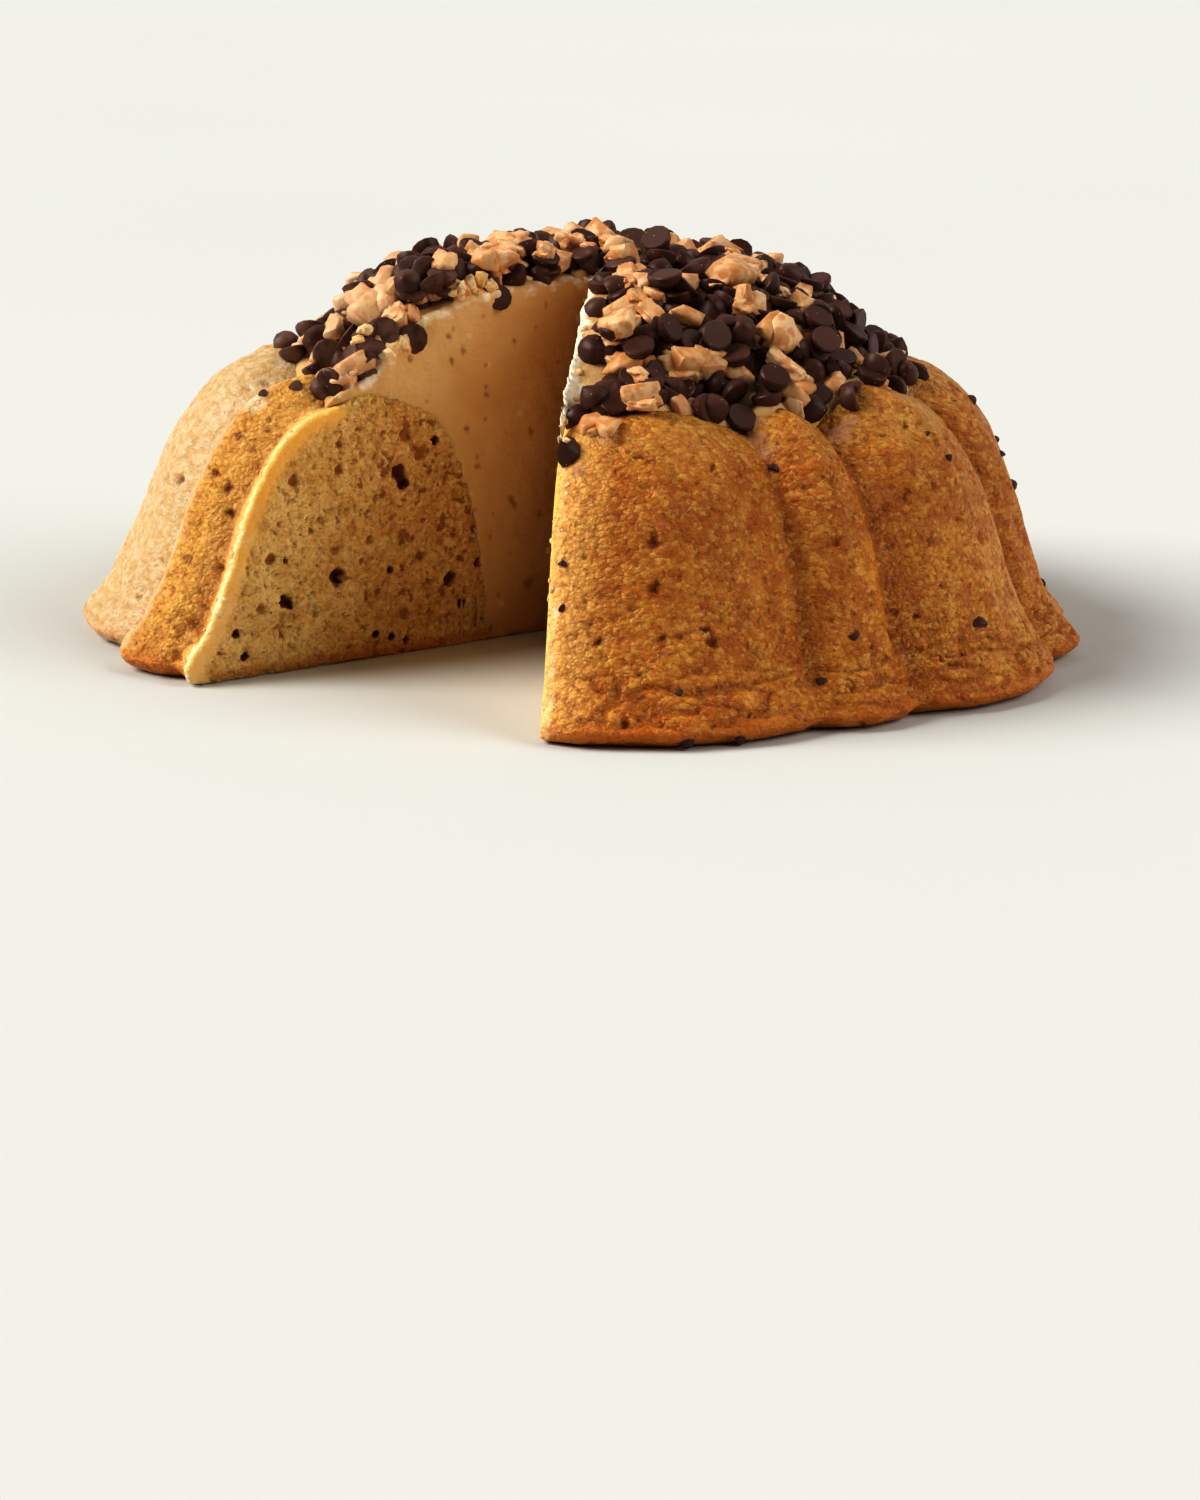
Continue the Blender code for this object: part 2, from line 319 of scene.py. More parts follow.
relief(cake, 3.2 * MM, -0.9 * MM, "crust", dots=(0.2, 0.34))
relief(cake, 1.7 * MM, -0.8 * MM, "crumb", dots=(0.24, 0.4))
relief(cake, 3.6 * MM, -1 * MM, "crumb", dots=(0.2, 0.32))
relief(cake, 1.6 * MM, 0.6 * MM, "crumb")
form = tree_of(cake)
places, normals = corners_of(cake)
for number in np.flatnonzero(folded > 0):
    place = Vector(places[number]) - AXIS
    wave = noise.noise(Vector((place.x / FOLD_LENGTH, place.y / FOLD_LENGTH, place.z / FOLD_GAP)) / MM)
    places[number] -= normals[number] * folded[number] * FOLD_DEPTH * MM * max(0, 1 - abs(wave) * 4)
pits = middles_of(PITS, form)
for _ in range(HIDDEN_PITS):
    found = on_side(dice.uniform(*HIDDEN_SIDE), dice.uniform(12, 62) * MM, form)[0]
    pits.append((found, dice.uniform(0.8, 2.2) * MM))
dented = dent(places, normals, pits, PIT_DEPTH)
dented_cut = dent(places, normals, middles_of(CUT_PITS, form), CUT_PIT_DEPTH)
opened = dent(places, normals, middles_of(CUT_HOLES, form), HOLE_DEPTH)
smeared = dent(places, normals, middles_of(SMEARS, form), -SMEAR_HEIGHT)
places[:, 2] = np.maximum(places[:, 2], 0)
put_corners(cake, places)
right = places[:, 0] > AXIS.x
bearing = np.degrees(np.arctan2(places[:, 1] - AXIS.y, places[:, 0] - AXIS.x)) % 360
rim = np.where(cut, ease(depth, *RIM_ON_CUT), crust * outside * ease(beside, *RIM_ON_CRUST))
keep_values(cake, "rim", rim * np.where(right, RIGHT_RIM, 1))
keep_values(cake, "near_cut", crust * ease(beside, *NEAR_CUT) * np.where(right, RIGHT_NEAR_CUT, 1))
keep_values(cake, "warm", ease(bearing, *WARM_STARTS) * ease(bearing, *WARM_ENDS))
keep_values(cake, "pale", ease(bearing, *PALE_STARTS) * ease(bearing, *PALE_ENDS))
keep_values(cake, "valley", valley)
keep_values(cake, "smear", smeared)
keep_values(cake, "sunk", -np.sum((places - plain) * normals, axis=1) / MM)
keep_values(cake, "hole", opened)
keep_values(cake, "pit", np.maximum(dented, dented_cut))
keep_values(cake, "cut", cut.astype(float))
cake.data.shade_smooth()


class Wire:
    """An output of a node. A sum, difference or product of wires adds the Math node that works it out."""

    def __init__(self, look, socket):
        self.look, self.socket = look, socket

    def maths(self, operation, first, second):
        return self.look.node("ShaderNodeMath", {0: first, 1: second}, operation=operation)

    def __add__(self, other):
        return self.maths("ADD", self, other)

    def __mul__(self, other):
        return self.maths("MULTIPLY", self, other)

    def __sub__(self, other):
        return self.maths("SUBTRACT", self, other)

    def __rsub__(self, other):
        return self.maths("SUBTRACT", other, self)

    __radd__, __rmul__ = __add__, __mul__


class Look:
    """The nodes of a material, or of the surround, written as expressions on wires."""

    def __init__(self, owner, coordinates="Object"):
        owner.use_nodes = True
        self.owner, self.tree = owner, owner.node_tree
        self.place = self.node("ShaderNodeTexCoord", {}, output=coordinates)

    def fill(self, made, inputs):
        """Links each of a node's sockets to its wire, or sets it to its value."""
        for name, value in inputs.items():
            socket = made.inputs[name]
            if isinstance(value, Wire):
                self.tree.links.new(value.socket, socket)
            elif socket.type == "RGBA":
                socket.default_value = (*value, 1)
            else:
                socket.default_value = value

    def node(self, kind, inputs, output=0, **settings):
        made = self.tree.nodes.new(kind)
        for name, value in settings.items():
            setattr(made, name, value)
        self.fill(made, inputs)
        return Wire(self, made.outputs[output])

    def noise(self, size, detail=2, place=None, output=0):
        inputs = {"Vector": place or self.place, "Scale": 1 / size, "Detail": detail}
        return self.node("ShaderNodeTexNoise", inputs, output)

    def cells(self, size, place=None, output="Distance"):
        inputs = {"Vector": place or self.place, "Scale": 1 / size}
        return self.node("ShaderNodeTexVoronoi", inputs, output)

    def scaled(self, across, up):
        """The place with its level part and its height scaled."""
        return self.node("ShaderNodeMapping", {"Vector": self.place, "Scale": (across, across, up)})

    def along(self, direction):
        """How far the place lies along a direction."""
        inputs = {0: self.place, 1: direction}
        return self.node("ShaderNodeVectorMath", inputs, "Value", operation="DOT_PRODUCT")

    def from_axis(self):
        """How far the place is from the cake's axis."""
        inputs = {0: self.scaled(1, 0), 1: AXIS}
        return self.node("ShaderNodeVectorMath", inputs, "Value", operation="DISTANCE")

    def step(self, value, low, high):
        """The same as ease, on a wire."""
        inputs = {"Value": value, "From Min": low, "From Max": high}
        return self.node("ShaderNodeMapRange", inputs, interpolation_type="SMOOTHSTEP")

    def mix(self, mask, first, second):
        """The first colour where the mask is 0, the second where it is 1."""
        return self.node("ShaderNodeMix", {0: mask, 6: first, 7: second}, output=2, data_type="RGBA")

    def stored(self, name):
        """What keep_values has stored."""
        return self.node("ShaderNodeAttribute", {}, output="Fac", attribute_name=name)

    def finish(self, thing, colour, roughness, *bumps, **constants):
        """Fills the Principled shader and puts the material on the thing.

        A bump is (height, strength, distance). A constant has its socket's name, with underscores for spaces.
        """
        inputs = {"Base Color": colour, "Roughness": roughness}
        for height, strength, distance in bumps:
            bump = {"Height": height, "Strength": strength, "Distance": distance}
            if "Normal" in inputs:
                bump["Normal"] = inputs["Normal"]
            inputs["Normal"] = self.node("ShaderNodeBump", bump)
        for name, value in constants.items():
            inputs[name.replace("_", " ")] = value
        self.fill(self.tree.nodes["Principled BSDF"], inputs)
        thing.data.materials.clear()
        thing.data.materials.append(self.owner)


# What the cake's colours follow: its height and its sides, its grain, and what is stored on its corners.
look = Look(bpy.data.materials.new("baked_cake"))
height = look.along((0, 0, 1))
leftward = look.along(PALE_LIT_SIDE)
flat = look.scaled(1, 1.35)
wobble = look.noise(1.6 * MM, 2, flat, output="Color")
warped = look.node("ShaderNodeVectorMath", {0: wobble, 1: (1.8 * MM,) * 3, 2: flat}, operation="MULTIPLY_ADD")
broad = look.noise(20 * MM)
blotches = look.noise(6 * MM, 2, flat)
lumps = look.noise(2.4 * MM, 3, flat)
fine = look.noise(1.1 * MM, 2, flat)
grains = look.cells(1.35 * MM, warped)
grain_tone = look.node("ShaderNodeRGBToBW", {"Color": look.cells(1.35 * MM, warped, output="Color")})
specks = look.step(look.noise(2 * MM, 3, flat), 0.6, 0.67)
sunk = look.stored("sunk")
near_cut = look.stored("near_cut")
turned = look.stored("warm")
# The pale side: partly crust that browned least, partly painted light on the side towards the lamp.
paler_and_lit = look.step(look.stored("pale") + (lumps - 0.5) * 0.7, 0.15, 0.85)
brown = (1 - paler_and_lit * 0.8) * (1 - near_cut * 0.6) * (1 - turned * 0.35)
band = look.step(height, 34 * MM, 46 * MM) * look.step(height, 62 * MM, 55 * MM)
upper = look.step(leftward, 0, -40 * MM) * band
lit_crowns = look.step(height, 55 * MM, 64 * MM)
foot = look.step(height + fine * (2.5 * MM), 8.5 * MM, 4 * MM)
towards_axis = look.step(look.from_axis(), 92 * MM, 58 * MM)

# The crust is golden with brown blotches, warmer round the back, dark between its grains and on its foot.
# It is paler on the left, where it browned least and where painted light stands in for the lamp's glare,
# and darker in a band high on the right. Painted light lightens the lobes' crowns, and partly the crust
# beside the cuts, which is also torn there. Painted shade darkens its grooves, its pits and its dents.
golden = look.mix(look.step(broad, 0.35, 0.65), (0.70, 0.30, 0.04), (0.58, 0.205, 0.018))
golden = look.mix(look.step(blotches, 0.5, 0.68) * 0.65, golden, (0.47, 0.125, 0.008))
golden = look.mix(look.step(blotches, 0.5, 0.34) * 0.5, golden, (0.80, 0.42, 0.075))
golden = look.mix(upper * 0.4, golden, (0.44, 0.135, 0.009))
# Lighter on the lobes' crowns: painted light from above.
golden = look.mix(lit_crowns * 0.6, golden, (0.56, 0.31, 0.065))
warm = look.mix(look.step(blotches, 0.35, 0.65), (0.80, 0.45, 0.10), (0.66, 0.34, 0.055))
golden = look.mix(turned, golden, warm)
pale = look.mix(look.step(lumps, 0.62, 0.38), (0.71, 0.555, 0.345), (0.65, 0.44, 0.20))
golden = look.mix(paler_and_lit, golden, pale)
# Lighter beside the cuts: partly torn crust, partly a painted highlight.
golden = look.mix(near_cut, golden, (0.96, 0.59, 0.19))
# Darker in the grooves: painted shade.
golden = look.mix(look.step(look.stored("valley"), 0.1, 1.5) * 0.6, golden, (0.40, 0.10, 0.007))
golden = look.mix(look.step(grain_tone, 0.55, 0.85) * (0.34 - paler_and_lit * 0.22), golden, (0.94, 0.60, 0.17))
golden = look.mix(look.step(grain_tone, 0.45, 0.15) * 0.4 * brown, golden, (0.46, 0.125, 0.008))
golden = look.mix(look.step(grains, 0.5, 0.8) * 0.4 * brown, golden, (0.40, 0.11, 0.01))
# Darker where pressed in and in its pits: painted shade.
golden = look.mix(look.step(sunk, 0.15, 0.8) * 0.45 * brown, golden, (0.42, 0.11, 0.01))
golden = look.mix(specks * 0.6 * brown, golden, (0.36, 0.085, 0.008))
golden = look.mix(look.stored("pit") * 0.8, golden, (0.30, 0.06, 0.006))
golden = look.mix(foot * (0.8 - paler_and_lit * 0.45), golden, (0.60, 0.185, 0.018))
# Smears of frosting on the crust, paler on the lit side: painted light.
smear = look.mix(look.step(leftward, 0, 60 * MM), (0.58, 0.31, 0.17), (0.90, 0.72, 0.52))
golden = look.mix(look.stored("smear") * 0.75, golden, smear)

# The crumb of the cut faces is yellow, browner towards the axis, with dark pores. Painted shade darkens its
# pits, dents and holes.
crumb = look.mix(look.step(look.noise(9 * MM, 3), 0.35, 0.7), (0.93, 0.655, 0.265), (0.80, 0.50, 0.16))
crumb = look.mix(towards_axis * 0.4, crumb, (0.66, 0.33, 0.08))
crumb = look.mix(look.step(fine, 0.5, 0.32) * 0.5, crumb, (0.56, 0.27, 0.06))
crumb = look.mix(look.step(grain_tone, 0.6, 0.85) * 0.45, crumb, (1, 0.78, 0.40))
pores = look.step(look.noise(1.5 * MM, 3) + towards_axis * 0.06, 0.565, 0.66)
crumb = look.mix(pores * 0.42, crumb, (0.46, 0.165, 0.02))
wide_pores = look.step(look.noise(3.4 * MM, 4) + towards_axis * 0.08, 0.66, 0.73)
crumb = look.mix(wide_pores * 0.75, crumb, (0.30, 0.075, 0.01))
crumb = look.mix(look.step(look.cells(8 * MM), 0.24, 0.12) * 0.45, crumb, (0.52, 0.20, 0.03))
# Darker where pressed in and in its pits: painted shade.
crumb = look.mix(look.step(sunk, 0.2, 0.9) * 0.7, crumb, (0.42, 0.15, 0.02))
crumb = look.mix(look.stored("pit") * 0.7, crumb, (0.44, 0.16, 0.022))
crumb = look.mix(look.step(height + fine * (2 * MM), 5 * MM, 2.5 * MM) * 0.7, crumb, (0.62, 0.22, 0.03))

# The two meet in a rim, cream to yellow: a pale band of crumb, brightened by painted glow where light
# shines through the thin edge. Painted shade darkens the holes, with a brown edge round them.
cut_mask = look.stored("cut")
surface = look.mix(cut_mask, golden, crumb)
rim = look.step(look.stored("rim") + (lumps - 0.5) * 1.2, 0.15, 0.85)
yellow = cut_mask * 0.7 + (blotches - 0.5) * 0.8 + look.step(height, 18 * MM, 52 * MM) * 0.45
surface = look.mix(rim * 0.85, surface, look.mix(yellow, (0.97, 0.80, 0.50), (0.94, 0.57, 0.13)))
hole = look.stored("hole")
surface = look.mix(look.step(hole * (lumps + 0.7), 0.08, 0.45) * 0.7, surface, (0.40, 0.12, 0.018))
surface = look.mix(look.step(hole + (lumps - 0.5) * 1.6, 0.3, 0.55), surface, (0.17, 0.04, 0.01))
bump = ((1 - grains) + lumps * 1.6 - specks * 0.6) * (1 - rim * 0.7) * (1 - paler_and_lit * 0.65)
look.finish(cake, surface, cut_mask * 0.35 + 0.4, (bump, 0.75, 0.8 * MM), (fine, 0.4, 0.4 * MM),
            Specular_IOR_Level=0.3, Subsurface_Weight=0.45, Subsurface_Scale=5 * MM,
            Subsurface_Radius=(1, 0.5, 0.2))
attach(cake, "root")
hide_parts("cake")

# The frosting: caramel frosting spooned into the ring's middle, down to its base, and heaped into a dome that
# spreads over the ring's shoulders. It starts as a filled section that is spun round the axis and loses what
# the cake already fills. The section's points are mm from the axis, and mm up.
FROSTING_TOP = (
    (0, 87.5), (20, 87.2), (32, 86.4), (42, 84.6), (51, 81.6), (60, 77.6), (68, 74.6), (76, 72.6), (84, 70),
    (90, 64),
)
FROSTING_UNDER = ((90, 48), (60, 44), (50, 25), (45, 0), (0, 0))
FROSTING_STEPS = 220
DOME_ABOVE = 60 * MM
SKIRT_STARTS, SKIRT_ENDS = 56, 74  # mm from the axis: where the dome turns into a skirt on the crust
SKIRT_EDGE = 77.5  # mm from the axis, at its mean
SKIRT_THICKNESS, SKIRT_DIP = 1.6, 3  # mm above the crust, and below it past the skirt's edge
GROOVE_HEIGHTS, GROOVE_REACH = (67, 59), 1.5  # mm up, and how much further the skirt runs down in a groove
LEFT_SHORT = 3.5  # mm that the frosting and the topping reach less far on the left
FROSTING_GRID = 0.96 * MM
OVERLAP, SKIRT_OVERLAP = 0.8 * MM, 1.5 * MM  # how far it reaches into the cake, and more under its skirt
SKIRT_WITHIN, SKIRT_ABOVE, SKIRT_BESIDE = 90, (50, 56), (3, 8)  # the crust under it: mm out, up, from a cut
TORN = (4.5, 1)  # mm from the corner of its top and cut: where it starts to be torn, and where it is full
TORN_ROUNDS, LEFT_TORN_AND_LIT = 14, 0.4  # of smoothing there, and how strong the torn look, partly painted light, is on the left
FLECK_DEPTH = 0.3 * MM
FLECKS = (
    (449, 336, 1.2), (463, 351, 1.2), (452, 361, 1), (410, 359, 1), (486, 386, 0.9), (487, 394, 0.9),
    (546, 304, 1), (514, 342, 0.9), (467, 429, 1.2), (531, 432, 1.2), (512, 499, 1.3), (515, 505, 1.2),
    (541, 514, 1.2), (529, 584, 2), (478, 466, 1.1),
)


def uneven_edge(azimuth):
    """How far from the axis something spread on the cake ends, in mm, above or below its mean."""
    around = Vector((math.cos(azimuth), math.sin(azimuth), 0))
    return 5 * noise.noise(around * 2.2) + 2 * noise.noise(around * 9) + LEFT_SHORT * min(0, around.x)


def smooth_line(points, steps):
    """A smooth curve through the points, as a list that keeps each of them."""
    points = [Vector(point) for point in points]
    ends = [points[0]] + points + [points[-1]]
    line = []
    for before, start, end, after in zip(ends, ends[1:], ends[2:], ends[3:]):
        for step in range(steps):
            t = step / steps
            line.append(0.5 * (2 * start + (end - before) * t
                               + (2 * before - 5 * start + 4 * end - after) * t ** 2
                               + (3 * start - before - 3 * end + after) * t ** 3))
    return line + [points[-1]]


def from_above(tree, x, y):
    """Where a ray straight down at (x, y) meets the tree, and the way the tree faces there."""
    return tree.ray_cast(Vector((x, y, 1)), Vector((0, 0, -1)))[:2]


section = smooth_line(FROSTING_TOP, 5) + [Vector(point) for point in FROSTING_UNDER]
bpy.ops.object.select_all(action="DESELECT")
bpy.ops.mesh.primitive_circle_add(vertices=len(section), fill_type="NGON")
frosting = bpy.context.object
frosting.name = "caramel_frosting"
outward = Vector((math.cos(FIRST_CUT), math.sin(FIRST_CUT), 0))
for corner, (radius_mm, height_mm) in zip(frosting.data.vertices, section):
    corner.co = AXIS + (outward * radius_mm + Vector((0, 0, height_mm))) * MM
bpy.ops.object.mode_set(mode="EDIT")
bpy.ops.mesh.select_all(action="SELECT")
bpy.ops.mesh.spin(steps=FROSTING_STEPS, angle=FIRST_CUT - LAST_CUT, center=AXIS, axis=(0, 0, 1))
bpy.ops.mesh.select_all(action="SELECT")
bpy.ops.mesh.remove_doubles(threshold=SAME_PLACE)
bpy.ops.mesh.normals_make_consistent(inside=False)
bpy.ops.object.mode_set(mode="OBJECT")

ring = tree_of(mould)
for corner in frosting.data.vertices:
    out = (corner.co - AXIS).to_2d()
    away = out.length / MM
    under = from_above(ring, corner.co.x, corner.co.y)[0]
    if away > SKIRT_STARTS and corner.co.z > DOME_ABOVE and under is not None:
        groove = GROOVE_REACH * ease(under.z / MM, *GROOVE_HEIGHTS)
        edge = SKIRT_EDGE + groove + uneven_edge(math.atan2(out.y, out.x))
        thick = SKIRT_THICKNESS - (SKIRT_THICKNESS + SKIRT_DIP) * ease(away, edge - 1, edge + 1.5)
        corner.co.z += (under.z + thick * MM - corner.co.z) * ease(away, SKIRT_STARTS, SKIRT_ENDS)
places, normals = corners_of(mould)
cut, _, radius = regions(places, normals)
skirted = ease(places[:, 2] / MM, *SKIRT_ABOVE) * ease(beside_cut(places) / MM, *SKIRT_BESIDE)
skirted = skirted * (radius < SKIRT_WITHIN * MM)
places -= normals * (~cut * (OVERLAP * (radius < SPREAD_WITHIN) + SKIRT_OVERLAP * skirted))[:, None]
put_corners(mould, places)
work(frosting, "BOOLEAN", operation="DIFFERENCE", object=mould, solver="MANIFOLD")
bpy.data.objects.remove(mould)
work(frosting, "REMESH", mode="VOXEL", voxel_size=FROSTING_GRID)
work(frosting, "SMOOTH", factor=0.5, iterations=3)
places, normals = corners_of(frosting)
cut = regions(places, normals)[0]
top = ~cut & (normals[:, 2] > 0.2) & (places[:, 2] > DOME_ABOVE)
depth = depth_below(top, cut & (places[:, 2] > 55 * MM), places)
edge = np.where(cut, ease(depth, *TORN), top * ease(beside_cut(places) / MM, *TORN))
mark(frosting, "edge", edge)
work(frosting, "SMOOTH", factor=0.5, iterations=TORN_ROUNDS, vertex_group="edge")
relief(frosting, 1.9 * MM, 1.1 * MM, "edge")
relief(frosting, 14 * MM, 1.6 * MM, noise_depth=1)
relief(frosting, 3.6 * MM, 0.8 * MM)
places, normals = corners_of(frosting)
flecked = dent(places, normals, middles_of(FLECKS, tree_of(frosting)), FLECK_DEPTH)
places[:, 2] = np.maximum(places[:, 2], 0)
put_corners(frosting, places)
keep_values(frosting, "fleck", flecked)
keep_values(frosting, "torn_and_lit", edge * np.where(places[:, 0] > AXIS.x, 1, LEFT_TORN_AND_LIT))
frosting.data.shade_smooth()

look = Look(bpy.data.materials.new("caramel_frosting"))
fine = look.noise(1.1 * MM, 3)
strokes = look.noise(1.2 * MM, 2, look.scaled(0.25, 1))
caramel = look.mix(look.step(look.noise(16 * MM), 0.3, 0.7), (0.76, 0.51, 0.24), (0.70, 0.44, 0.18))
caramel = look.mix(look.step(fine, 0.6, 0.75) * 0.3, caramel, (0.66, 0.36, 0.13))
caramel = look.mix(look.step(look.cells(7 * MM), 0.14, 0.05) * 0.6, caramel, (0.52, 0.19, 0.04))
caramel = look.mix(look.stored("fleck") * 0.8, caramel, (0.26, 0.08, 0.02))
# Darker towards the axis and towards the bottom: painted shade deep in the cut.
caramel = look.mix(look.step(look.from_axis(), 40 * MM, 8 * MM) * 0.5, caramel, (0.52, 0.22, 0.04))
caramel = look.mix(look.step(look.along((0, 0, 1)), 22 * MM, 0) * 0.5, caramel, (0.52, 0.22, 0.04))
# The torn edge is paler: partly crumbly torn frosting, partly painted light on the half that faces the lamp.
torn_and_lit = look.step(look.stored("torn_and_lit") + (look.noise(5 * MM, 3) - 0.5) * 2.2, 0.3, 0.9)
caramel = look.mix(torn_and_lit * 0.85, caramel, (1, 0.92, 0.76))
look.finish(frosting, caramel, 0.55, (strokes, 0.4, 0.6 * MM), (fine, 0.5, 0.45 * MM), Specular_IOR_Level=0.3)
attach(frosting, "root")
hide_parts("frosting")

# The topping: small chocolate chips and broken bits of toffee, strewn on the frosting while it was soft. Each
# is modelled once in a few shapes, and the copies are laid batch by batch on what lies there already. Those
# that stand out are laid last, at their own spots. A few chips are baked into the cake.
CHIP_RINGS = ((0, 0), (3.4, 0), (3.75, 0.4), (3.5, 1.7), (2.5, 3.1), (1, 4.3), (0, 4.9))  # mm out, and up
CHIP_SIDES = 12
HALF_CHIP, HALF_CHIP_ON_SIDE = 2.2, 1.1  # mm from its middle to what it lies on, and more when on its side
CHIP_SHAPES, TOFFEE_SHAPES, SLAB_SHAPES = 6, 14, 7
TIP_OUT, ON_ITS_SIDE, BASE_OUT = math.radians(20), math.radians(95), math.radians(165)
TIPS = (TIP_OUT, TIP_OUT, ON_ITS_SIDE, BASE_OUT, BASE_OUT, BASE_OUT)
BATCHES = ((330, 0.40), (330, 0.30), (300, 0.30), (240, 0.30))  # how many, and how far each is sunk
CHIPS_LEFT, CHIPS_RIGHT = 0.58, 0.83  # the share of chips in the topping of each half
TOFFEE_LENGTHS = (4.2, 8.8)  # mm
TOPPING_EDGE = 78.5  # mm from the axis, at its mean
TOPPING_TOP, TOPPING_LOWEST = 100.6 * MM, 45 * MM
BATCH_TURN, BATCH_STEP = 1.3, 1.5  # radians that each batch is turned by, and mm that it ends further in
HEAP_AT_EDGE, HEAP_INSIDE = 1 * MM, 5.5 * MM  # how high the topping lies at its edge, and what inside adds
HEAP_FROM, HEAP_FULL = 1, -22  # mm from its edge, where it starts to lie higher, and where it is highest
FOOTPRINT = 2.6  # mm round its middle that each one rests on
BARE_STRIP = (5, 24)  # mm from the first cut, and from the axis outwards, where the frosting is left bare
NEAREST_TO_CUT = 1.5  # mm
LARGEST_MOVE = 6 * MM  # what would have to be moved further out of the wedge isn't laid
HIDDEN_BAKED_CHIPS = 22
# A slab is the spots of its two ends, its width and its thickness in mm. A shown chip has the way it lies.
SLABS = (
    (664, 368, 720, 358, 9, 5), (712, 283, 764, 264, 6, 5), (764, 276, 784, 298, 7, 5),
    (608, 342, 640, 311, 7, 4.5), (642, 310, 674, 325, 5, 4), (610, 352, 642, 382, 5, 4),
    (756, 346, 800, 330, 10, 7), (772, 352, 800, 376, 6, 5), (640, 302, 638, 268, 6.5, 6),
    (623, 262, 632, 282, 5, 5), (604, 246, 626, 238, 6, 5), (612, 258, 632, 250, 5, 5),
    (492, 268, 518, 238, 11, 8), (466, 262, 486, 248, 6, 5), (352, 316, 390, 298, 9, 6),
    (380, 300, 398, 318, 6, 5), (626, 402, 652, 396, 6, 4), (590, 430, 612, 426, 6, 4),
    (740, 312, 757, 299, 6.5, 6), (565, 246, 580, 238, 7, 6), (806, 286, 800, 306, 6, 5),
    (540, 256, 548, 246, 5, 5),
)
SHOWN_CHIPS = (
    (640, 354, BASE_OUT), (713, 339, BASE_OUT), (735, 361, BASE_OUT), (822, 345, BASE_OUT),
    (773, 382, BASE_OUT), (814, 323, BASE_OUT), (850, 338, BASE_OUT), (851, 323, BASE_OUT),
    (667, 284, BASE_OUT), (658, 244, BASE_OUT), (616, 407, BASE_OUT), (593, 351, TIP_OUT),
    (593, 397, TIP_OUT), (574, 424, ON_ITS_SIDE), (571, 455, ON_ITS_SIDE), (817, 414, ON_ITS_SIDE),
    (848, 403, ON_ITS_SIDE), (904, 372, TIP_OUT), (716, 408, TIP_OUT), (813, 373, TIP_OUT),
    (674, 390, TIP_OUT), (696, 392, TIP_OUT), (730, 392, ON_ITS_SIDE), (587, 265, ON_ITS_SIDE),
    (601, 311, TIP_OUT), (740, 330, TIP_OUT), (413, 296, BASE_OUT), (426, 274, ON_ITS_SIDE),
    (404, 282, TIP_OUT), (457, 270, TIP_OUT), (438, 286, ON_ITS_SIDE), (321, 343, ON_ITS_SIDE),
    (327, 357, ON_ITS_SIDE), (373, 355, ON_ITS_SIDE), (380, 378, ON_ITS_SIDE), (549, 280, TIP_OUT),
)
# A bit of toffee has its length in mm, an embedded or baked-in chip its size as a share of a whole one's.
SHOWN_TOFFEE = (
    (640, 288, 8), (631, 274, 7), (619, 326, 11), (675, 366, 9), (690, 362, 10), (705, 368, 9),
    (624, 367, 9), (781, 338, 9), (773, 330, 8), (789, 346, 7), (743, 300, 8), (750, 306, 7), (641, 397, 9),
    (681, 408, 6), (791, 394, 8), (800, 388, 7), (731, 274, 10), (741, 270, 9), (837, 387, 7),
    (571, 242, 8), (543, 251, 6), (619, 248, 7), (625, 256, 7), (600, 338, 8), (593, 426, 7), (607, 428, 7),
    (493, 252, 9), (503, 262, 10), (512, 250, 8), (484, 262, 8), (500, 243, 8), (472, 249, 6),
    (470, 286, 6), (480, 292, 5), (458, 290, 6), (371, 311, 9), (362, 300, 8), (382, 303, 8), (388, 316, 7),
    (360, 322, 7), (396, 349, 7), (352, 368, 8), (348, 383, 7), (334, 328, 8), (445, 265, 7), (400, 322, 6),
    (655, 298, 6),
)
EMBEDDED_CHIPS = ((415, 339, 1), (501, 299, 0.85))
BAKED_CHIPS = (
    (979, 621, 0.62), (949, 459, 0.38), (927, 433, 0.25), (855, 637, 0.42), (821, 682, 0.36),
    (686, 742, 0.5), (742, 739, 0.55), (563, 563, 0.3), (563, 609, 0.3), (679, 693, 0.3), (774, 467, 0.4),
    (297, 387, 0.5), (264, 394, 0.35),
)
dice = random.Random(7)


def chip_shape():
    """A drop of chocolate with a flat base, its point leaning a little."""
    rings = len(CHIP_RINGS) - 1
    bpy.ops.object.select_all(action="DESELECT")
    bpy.ops.mesh.primitive_uv_sphere_add(segments=CHIP_SIDES, ring_count=rings, radius=1)
    made = bpy.context.object
    lean = Vector((dice.uniform(-0.8, 0.8), dice.uniform(-0.8, 0.8), 0))
    squat = dice.uniform(0.8, 1.08)
    for corner in made.data.vertices:
        ring = round((1 - math.acos(max(-1, min(1, corner.co.z))) / math.pi) * rings)
        radius_mm, height_mm = CHIP_RINGS[ring]
        side = Vector((corner.co.x, corner.co.y, 0)).normalized() if radius_mm else Vector()
        upward = Vector((0, 0, height_mm * squat - 2))
        corner.co = (side * radius_mm + lean * (height_mm / 5) ** 2 + upward) * MM
    made.data.shade_smooth()
    made.data.set_sharp_from_angle(angle=math.radians(40))
    return made


